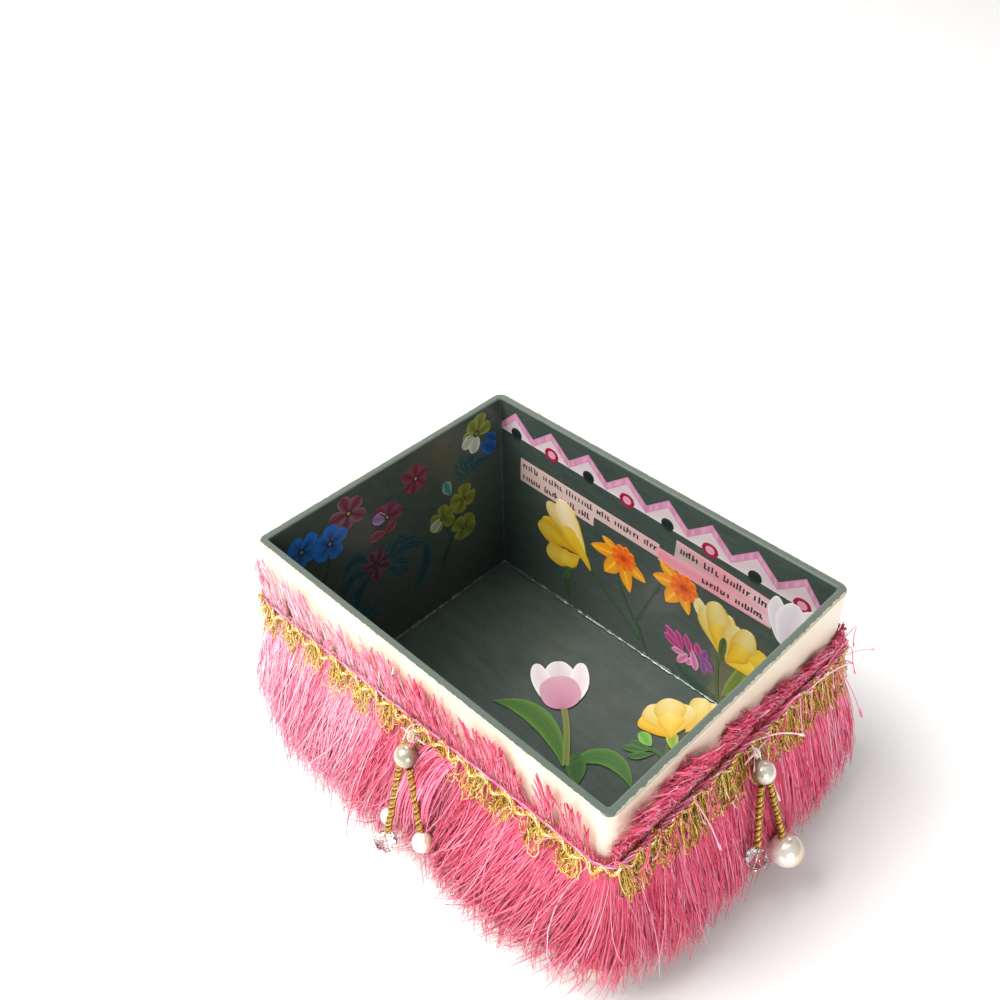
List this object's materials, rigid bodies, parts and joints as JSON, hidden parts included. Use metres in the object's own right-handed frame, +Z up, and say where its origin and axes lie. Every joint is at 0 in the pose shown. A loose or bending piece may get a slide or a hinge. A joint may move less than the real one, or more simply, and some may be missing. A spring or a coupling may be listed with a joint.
{
  "type": "trinket box",
  "caption": "Small open rectangular trinket box with a silk fringe, gold loop braid, short tufts and pearl and crystal drops round its walls.",
  "frame": {"origin": "centre of the box's flat underside", "axes": "+Z up, +X along the long side to the right as the front is faced, -Y out of the front"},
  "size_m": [0.1597, 0.1292, 0.07],
  "materials": {
    "painted_board": "gloss varnish over cream and dark grey paint",
    "pink_silk": "silky",
    "gold_thread": "metallic thread",
    "rose_thread": "silky",
    "lilac_cord": "silky",
    "gold_cord": "metallic twisted cord",
    "pale_knot": "pale metallic thread",
    "pearl": "pearl lacquer",
    "crystal": "faceted and clear",
    "brass_pin": "polished"
  },
  "bodies": {
    "root": {"box": "painted_board", "fringe": "pink_silk", "loop_braid": "gold_thread", "tuft_trim": "rose_thread", "seam_cord": "lilac_cord", "front_knot": "pale_knot", "front_small_pearl": "pearl", "front_crystal": "crystal", "front_crystal_cord": "gold_cord", "front_pin_head": "brass_pin", "front_side_pearl": "pearl", "front_side_pearl_cord": "gold_cord", "right_knot": "pale_knot", "right_small_pearl": "pearl", "right_large_pearl": "pearl", "right_large_pearl_cord": "gold_cord", "right_crystal": "crystal", "right_crystal_cord": "gold_cord", "right_pin_head": "brass_pin", "back_knot": "pale_knot", "back_small_pearl": "pearl", "back_large_pearl": "pearl", "back_large_pearl_cord": "gold_cord", "left_knot": "pale_knot", "left_small_pearl": "pearl", "left_large_pearl": "pearl", "left_large_pearl_cord": "gold_cord"}
  },
  "joints": []
}
